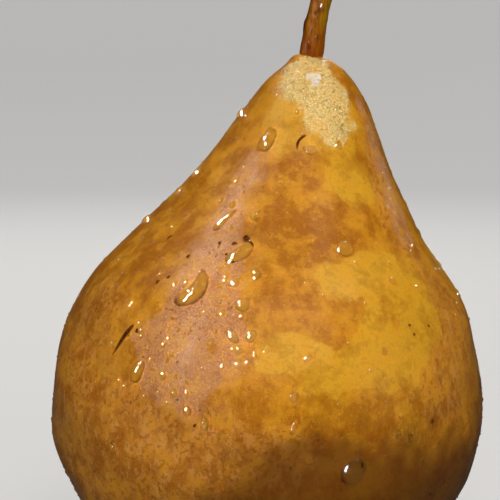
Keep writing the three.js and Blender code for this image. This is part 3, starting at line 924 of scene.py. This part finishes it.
def drop_body(ground, seat, size, seed, sides, rows, ragged=0.05, sag=0.1, rise=BEAD_RISE, bend=0):
    """A drop laid on the ground: a cap over a wobbly oval that is wider below, closed underneath it."""
    length, width, slant = size
    centre, across, upward, outward = seat
    side, top = leaned(across, upward, slant)
    angle = circle(sides)
    edge = oval_edge(angle, length / width, ragged, seed)
    reach = np.vstack([dome_steps(rows), [[SKIRT_REACH]]])
    x = width / 2 * reach * np.cos(angle) * edge * (1 - sag * np.sin(angle))
    y = length / 2 * reach * np.sin(angle) * edge
    x = x + bend * width * (BEND_LEVEL - (2 * y / length) ** 2)
    steep = 2 * rise
    curve = (1 + steep**2) / (2 * steep)
    cap = width / 2 * (np.sqrt(curve**2 - np.minimum(reach, 1) ** 2) - (curve - steep))
    height = cap * (1 - CAP_SAG * sag * reach * np.sin(angle))
    height[-1] = -WATER_SUNK
    flat = centre + x.reshape(-1, 1) * side + y.reshape(-1, 1) * top
    on_skin = landed(ground, flat, outward)
    middle = landed(ground, [centre], outward)[0]
    rings = (on_skin + height.reshape(-1, 1) * outward).reshape(rows + 1, sides, 3)
    return closed_body(middle + outward * width * rise, rings, middle - outward * WATER_SUNK)


def rim_shade(sides, rows, start=RIM_FROM):
    """For each point of a drop, how close it is to the rim, most on the lower right, from 0 to 1: on water a
    painted shade, on scabs a pale edge.
    """
    side = RIM_EVEN + RIM_ONE_SIDED * np.cos(circle(sides) + math.pi / 4)[None, :]
    rings = np.vstack([smoothstep((dome_steps(rows) - start) / (1 - start)) * side, side])
    return np.concatenate([[0], rings.ravel(), [1]])


def water_material(name):
    shader = Shader(name)
    # Painted shade: the water is tinted darker towards its rim, most at the lower right
    colour = shader.mix(srgb(255, 250, 238), srgb(124, 98, 60), shader.times(shader.attribute("rim"), 0.7))
    shader.set(
        Base_Color=colour,
        Roughness=0.0,
        IOR=1.33,
        Specular_IOR_Level=1.0,
        Transmission_Weight=1.0,
        Normal=shader.bump(shader.noise(1.1, detail=1), 0.03),
    )
    return shader.material


def put_rim(piece, shades):
    rim = piece.data.attributes.new("rim", "FLOAT", "POINT")
    rim.data.foreach_set("value", np.concatenate(shades).astype(np.float32))


def put_water(name, drops):
    """A piece of drops, each with the shades of its points."""
    water = put_mesh(name, [body for body, _ in drops], water_material(name))
    put_rim(water, [shades for _, shades in drops])
    return water


def skin_areas(points):
    """The skin that belongs to each point, in square millimetres."""
    grid = points.reshape(SKIN_ROWS, SKIN_COLUMNS, 3)
    sideways = (np.roll(grid, -1, 1) - np.roll(grid, 1, 1)) / 2
    return np.linalg.norm(np.cross(sideways, np.gradient(grid, axis=0)), axis=2).ravel()


SEEDED_BEADS, BEAD_SEED = 230, 5
SEEDED_LENGTHS, SEEDED_SLANT = (0.55, 1.9), 20
# How thickly they stand on bare skin, and how much more in the sheen and the mist
BARE_BEADS, SHEEN_BEADS, MIST_BEADS = 0.4, 4, 0.4
# None stand below or above these heights, nor on the right of the neck
SEEDED_FROM, SEEDED_TO, NECK_FROM, NECK_RIGHT = 12, 87, 72, 14


def seeded_beads(points, outward, masks):
    """Seats and sizes of small beads strewn over the whole fruit, most of them in the sheen."""
    own = np.random.default_rng(BEAD_SEED)
    rightward, height = points[:, 0], points[:, 2]
    thick = BARE_BEADS + masks["sheen"] * SHEEN_BEADS + masks["mist"] * MIST_BEADS
    weight = skin_areas(points) * thick * (height > SEEDED_FROM)
    weight *= (1 - masks["wet"]) * (height < SEEDED_TO) * ((height < NECK_FROM) | (rightward < NECK_RIGHT))
    picks = own.choice(len(points), SEEDED_BEADS, replace=False, p=weight / weight.sum())
    beads = []
    for pick in picks:
        size = blend(SEEDED_LENGTHS, own.random() ** 2)
        across = unit(np.cross([0, 0, 1], outward[pick]))
        seat = (points[pick], across, np.cross(outward[pick], across), outward[pick])
        beads.append((seat, (size, size * blend(ROUNDNESS, own.random()), own.normal() * SEEDED_SLANT)))
    return beads


# Beads on the stem: share of its length, degrees round it, length and width
STEM_BEADS = [
    (0.2, -112, 1.6, 1.0), (0.25, -75, 1.2, 0.9), (0.39, -105, 1.1, 0.8), (0.43, -78, 1.7, 1.1),
    (0.8, -75, 1.3, 1.0), (0.62, 60, 1.2, 0.9),
]


def stem_beads(centres, side, back, ahead):
    """Seats and sizes of the beads on the stem."""
    beads = []
    for share, turn, length, width in STEM_BEADS:
        row = int(share * (STEM_ROWS - 1))
        angle = math.radians(turn)
        outward = side[row] * math.cos(angle) + back[row] * math.sin(angle)
        seat = (centres[row] + outward * STEM_RADIUS, np.cross(ahead[row], outward), ahead[row], outward)
        beads.append((seat, (length, width, 0)))
    return beads


# Beads this many times as long as they are wide are runs
RUN_SLENDERNESS = 2.5
# Shorter beads have a fainter rim of painted shade
SHADED_LENGTH = 3
# Points round each kind of bead, and rings over it
LARGE_GRID, SMALL_GRID, SEEDED_GRID, STEM_GRID = (48, 14), (26, 8), (16, 6), (20, 6)
SMALL_SEED, SEEDED_SEED, STEM_SEED = 100, 200, 500


def build_beads(body, seeded, stem):
    """The ground that water and scabs lie on, and two pieces: the beads, and the long narrow runs."""
    ground = ground_of(body)
    beads, runs = [], []

    def drop(on, seat, size, seed, grid, **shape):
        shaped = drop_body(on, seat, size, seed, *grid, **shape)
        shades = rim_shade(*grid) * min(1, size[0] / SHADED_LENGTH)
        (runs if size[0] > RUN_SLENDERNESS * size[1] else beads).append((shaped, shades))

    for i, (turn, along, *size) in enumerate(LARGE_BEADS):
        drop(ground, seat_at(turn, along), size, i, LARGE_GRID, ragged=0.035, bend=BEAD_BENDS.get(i, 0))
    for i, (turn, along, *size) in enumerate(SMALL_BEADS):
        drop(ground, seat_at(turn, along), size, SMALL_SEED + i, SMALL_GRID)
    for i, (seat, size) in enumerate(seeded):
        drop(ground, seat, size, SEEDED_SEED + i, SEEDED_GRID, ragged=0.04)
    stem_ground = ground_of(stem[0])
    for i, (seat, size) in enumerate(stem_beads(*stem[1:])):
        drop(stem_ground, seat, size, STEM_SEED + i, STEM_GRID)
    return ground, put_water("water_beads", beads), put_water("water_runs", runs)


DROPLETS, DROPLET_SIDES, DROPLET_SEED = 4600, 7, 9
DROPLET_RADII, DROPLET_SCATTER = (0.09, 0.34), 0.5
# Rise and depth of a droplet as shares of its radius, and the reach and height of the rings round it
DROPLET_RISE, DROPLET_SUNK = 0.6, 0.12
DROPLET_RINGS = [(1.0, -DROPLET_SUNK), (0.72, DROPLET_RISE * 0.66)]
# How thickly they stand on bare skin, how much more in the mist and the sheen, and their least height
BARE_DROPLETS, MIST_DROPLETS, SHEEN_DROPLETS, DROPLETS_FROM = 0.12, 2.6, 0.9, 6


def build_droplets(body, outward, masks):
    """The fine mist of drops on the skin, thickest where it looks frosted."""
    own = np.random.default_rng(DROPLET_SEED)
    points = body[0][1:-1]
    thick = BARE_DROPLETS + masks["mist"] * MIST_DROPLETS + masks["sheen"] * SHEEN_DROPLETS
    weight = skin_areas(points) * thick * (1 - masks["wet"]) * (points[:, 2] > DROPLETS_FROM)
    picks = own.choice(len(points), DROPLETS, replace=False, p=weight / weight.sum())
    radius = blend(DROPLET_RADII, own.random(DROPLETS) ** 3)[:, None]
    out = outward[picks]
    across = unit(np.cross([0, 0, 1], out))
    upward = np.cross(out, across)
    jitter = own.random((DROPLETS, 2)) - 0.5
    centre = points[picks] + DROPLET_SCATTER * (across * jitter[:, :1] + upward * jitter[:, 1:])
    angle = circle(DROPLET_SIDES)
    spoke = across[:, None] * np.cos(angle)[None, :, None] + upward[:, None] * np.sin(angle)[None, :, None]
    rings = np.stack([
        centre[:, None] + reach * radius[..., None] * spoke + height * (radius * out)[:, None]
        for reach, height in DROPLET_RINGS
    ], 1)
    foot, tip = centre - DROPLET_SUNK * radius * out, centre + DROPLET_RISE * radius * out
    bodies = [closed_body(*parts) for parts in zip(foot, rings, tip)]
    return put_mesh("water_droplets", bodies, water_material("water_droplets"))


SCAB_GRID, SCAB_SEED = (28, 10), 300


def scab_material():
    shader = Shader("skin_scab")
    crust = shader.noise(0.35, detail=4, roughness=0.7)
    colour = shader.mix(srgb(74, 32, 10), srgb(126, 68, 20), shader.step(crust, 0.42, 0.66))
    colour = shader.tint(colour, (174, 108, 36), shader.attribute("rim"), 0.9)
    shader.set(Base_Color=colour, Roughness=0.8, Specular_IOR_Level=0.05, Normal=shader.bump(crust, 0.1))
    return shader.material


def build_scabs(ground):
    bodies, shades = [], []
    for i, (turn, along, *size) in enumerate(SCABS):
        shape = {"ragged": 0.08, "sag": SCAB_SAGS.get(i, 0.05), "rise": 0.1, "bend": SCAB_BENDS.get(i, 0)}
        bodies.append(drop_body(ground, seat_at(turn, along), size, SCAB_SEED + i, *SCAB_GRID, **shape))
        shades.append(rim_shade(*SCAB_GRID, SCAB_RIM_FROM if size[0] > SPECK_LENGTH else SPECK_RIM_FROM))
    scabs = put_mesh("skin_scabs", bodies, scab_material())
    put_rim(scabs, shades)


# The stage, the lights and the camera


MM_PER_PIXEL = 78 / 429
PICTURE = 500
BELLY_AXIS_PIXEL = 267
FLOOR_PIXEL = 566
CAMERA_DISTANCE = 380
CAMERA_ELEVATION = math.radians(6)
SENSOR = 36
TARGET = Vector((
    (PICTURE / 2 - BELLY_AXIS_PIXEL) * MM_PER_PIXEL,
    0,
    (FLOOR_PIXEL - PICTURE / 2) * MM_PER_PIXEL,
))


def direction(azimuth, elevation):
    """From the pear towards a place in degrees round it, 0 in front and 90 at its right, and degrees up."""
    turn, rise = math.radians(azimuth), math.radians(elevation)
    return Vector((math.sin(turn) * math.cos(rise), -math.cos(turn) * math.cos(rise), math.sin(rise)))


def add_camera():
    camera = bpy.data.cameras.new("camera")
    camera.sensor_width = SENSOR
    camera.lens = SENSOR * CAMERA_DISTANCE / (PICTURE * MM_PER_PIXEL)
    camera.clip_start = 0.01
    seat = bpy.data.objects.new("camera", camera)
    seat.location = (TARGET + direction(0, math.degrees(CAMERA_ELEVATION)) * CAMERA_DISTANCE) * MM
    seat.rotation_euler = (math.pi / 2 - CAMERA_ELEVATION, 0, 0)
    bpy.context.scene.collection.objects.link(seat)
    bpy.context.scene.camera = seat


AIM = Vector((0, 0, 0.5 * FRUIT_HEIGHT))
# Name, degrees round the pear and up, distance and size in millimetres, power and colour. These light matt
# surfaces, and show in no reflection.
MATT_LAMPS = [
    ("front_key", 8, 40, 700, (500, 500), 3.75, (1.0, 0.95, 0.88)),
    ("back_fill", 190, 45, 800, (500, 500), 3.2, (1.0, 0.96, 0.92)),
    ("left_fill", -24, -6, 700, (300, 300), 2.3, (1.0, 0.95, 0.88)),
    ("right_fill", 62, 0, 700, (300, 300), 0.9, (1.0, 0.95, 0.88)),
]
# These show in reflections alone
GLOSS_LAMPS = [
    ("tall_window", -46, 26, 620, (75, 480), 1.5, (1.0, 0.9, 0.8)),
    ("left_skylight", -94, 63, 560, (150, 190), 0.5, (1.0, 0.92, 0.84)),
    ("top_box", 66, 62, 560, (170, 220), 0.2, (1.0, 0.98, 0.94)),
    ("rear_window", 172, 30, 620, (130, 460), 0.35, (1.0, 0.95, 0.9)),
]
GLINT_DISTANCE, GLINT_COLOUR = 620, (1, 1, 1)
# The rays that see a glint lamp are no deeper than this, so it shows in the first surface that mirrors it
GLINT_RAY_DEPTH = 2.5


def add_light(name, azimuth, elevation, distance, size, power, colour, shines=True, lights=True):
    """A soft box that faces the pear. One that shines is seen in gloss, and one that lights brightens matt
    surfaces, through water too."""
    lamp = bpy.data.lights.new(name, "AREA")
    lamp.shape = "RECTANGLE"
    lamp.size, lamp.size_y = (s * MM for s in size)
    lamp.energy = power
    lamp.color = colour
    box = bpy.data.objects.new(name, lamp)
    towards = direction(azimuth, elevation)
    box.location = (AIM + towards * distance) * MM
    box.rotation_euler = towards.to_track_quat("Z", "Y").to_euler()
    box.visible_camera = False
    box.visible_glossy = shines
    box.visible_transmission = lights
    box.visible_diffuse = lights
    bpy.context.scene.collection.objects.link(box)
    return box


def add_glint(name, azimuth, elevation, size, power, wet_pieces):
    """A small bright lamp that only the outside of the water mirrors, with no glow inside it or beside it."""
    box = add_light(name, azimuth, elevation, GLINT_DISTANCE, size, power, GLINT_COLOUR, lights=False)
    receivers = bpy.data.collections.new(name + "_receivers")
    for piece in wet_pieces:
        receivers.objects.link(piece)
    box.light_linking.receiver_collection = receivers
    box.data.use_nodes = True
    nodes, links = box.data.node_tree.nodes, box.data.node_tree.links
    path = nodes.new("ShaderNodeLightPath")
    first = nodes.new("ShaderNodeMath")
    first.operation = "LESS_THAN"
    first.inputs[1].default_value = GLINT_RAY_DEPTH
    links.new(path.outputs["Ray Depth"], first.inputs[0])
    links.new(first.outputs[0], nodes["Emission"].inputs["Strength"])


# How pale the paper is to the camera and to other light, and its glow to the camera
STAGE_ALBEDO_SEEN, STAGE_ALBEDO_UNSEEN, STAGE_GLOW = 0.36, 0.07, 0.42
PAPER_WHITE = (1, 0.99, 0.97, 1)
STAGE_RADIUS, STAGE_BEND, STAGE_HEIGHT = 900, 350, 1100
STAGE_SIDES, STAGE_RINGS, STAGE_ARC_STEPS = 128, 12, 24
WORLD_COLOUR, WORLD_STRENGTH = (0.95, 0.96, 1.0, 1), 0.1


def stage_material():
    """Pale paper with an even glow, which throws little light back at the pear."""
    material = bpy.data.materials.new("stage_paper")
    material.use_nodes = True
    nodes, links = material.node_tree.nodes, material.node_tree.links
    surface = nodes["Principled BSDF"]
    surface.inputs["Roughness"].default_value = 0.9
    surface.inputs["Specular IOR Level"].default_value = 0.1
    surface.inputs["Emission Color"].default_value = PAPER_WHITE
    path = nodes.new("ShaderNodeLightPath")
    mix = nodes.new("ShaderNodeMix")
    mix.data_type = "RGBA"
    mix.inputs[MIX_A].default_value = (STAGE_ALBEDO_UNSEEN,) * 3 + (1,)
    mix.inputs[MIX_B].default_value = (STAGE_ALBEDO_SEEN,) * 3 + (1,)
    glow = nodes.new("ShaderNodeMath")
    glow.operation = "MULTIPLY"
    glow.inputs[1].default_value = STAGE_GLOW
    links.new(path.outputs["Is Camera Ray"], mix.inputs["Factor"])
    links.new(path.outputs["Is Camera Ray"], glow.inputs[0])
    links.new(mix.outputs[MIX_RESULT], surface.inputs["Base Color"])
    links.new(glow.outputs[0], surface.inputs["Emission Strength"])
    return material


def add_stage():
    """A flat floor that sweeps up into a wall all round."""
    outline = [(STAGE_RADIUS * i / STAGE_RINGS, 0) for i in range(1, STAGE_RINGS + 1)]
    outline += [
        (STAGE_RADIUS + STAGE_BEND * math.sin(a), STAGE_BEND * (1 - math.cos(a)))
        for a in np.linspace(0, math.pi / 2, STAGE_ARC_STEPS)[1:]
    ]
    outline.append((STAGE_RADIUS + STAGE_BEND, STAGE_HEIGHT))
    points = [(0, 0, 0)]
    for r, z in outline:
        points += [(r * math.cos(a) * MM, r * math.sin(a) * MM, z * MM) for a in circle(STAGE_SIDES)]
    faces = [(0, 1 + i, 1 + (i + 1) % STAGE_SIDES) for i in range(STAGE_SIDES)]
    for ring in range(len(outline) - 1):
        inner = 1 + ring * STAGE_SIDES
        outer = inner + STAGE_SIDES
        for i in range(STAGE_SIDES):
            j = (i + 1) % STAGE_SIDES
            faces.append((inner + i, outer + i, outer + j, inner + j))
    mesh = bpy.data.meshes.new("stage")
    mesh.from_pydata(points, [], faces)
    mesh.shade_smooth()
    mesh.materials.append(stage_material())
    stage = bpy.data.objects.new("stage", mesh)
    bpy.context.scene.collection.objects.link(stage)


def set_world():
    world = bpy.data.worlds.new("world")
    bpy.context.scene.world = world
    world.use_nodes = True
    background = world.node_tree.nodes["Background"]
    background.inputs["Color"].default_value = WORLD_COLOUR
    background.inputs["Strength"].default_value = WORLD_STRENGTH


skin_body, skin_outward, skin_masks, seeded_water = build_skin()
stem_parts = build_stem()
build_calyx()
skin_ground, water_beads, water_runs = build_beads(skin_body, seeded_water, stem_parts)
water_droplets = build_droplets(skin_body, skin_outward, skin_masks)
build_scabs(skin_ground)
add_stage()
set_world()
add_camera()
for matt_lamp in MATT_LAMPS:
    add_light(*matt_lamp, shines=False)
for gloss_lamp in GLOSS_LAMPS:
    add_light(*gloss_lamp, lights=False)
add_glint("left_glint", -42, 38, (65, 95), 28, (water_beads, water_droplets))
add_glint("tall_glint", -44, 22, (65, 460), 62, (water_beads,))
add_glint("run_glint", -92, 64, (100, 260), 40, (water_runs,))
add_glint("high_glint", -82, 53, (90, 160), 14, (water_beads,))
add_glint("rear_glint", 165, 40, (110, 150), 10, (water_beads, water_droplets))

bpy.context.scene.view_settings.view_transform = "Standard"
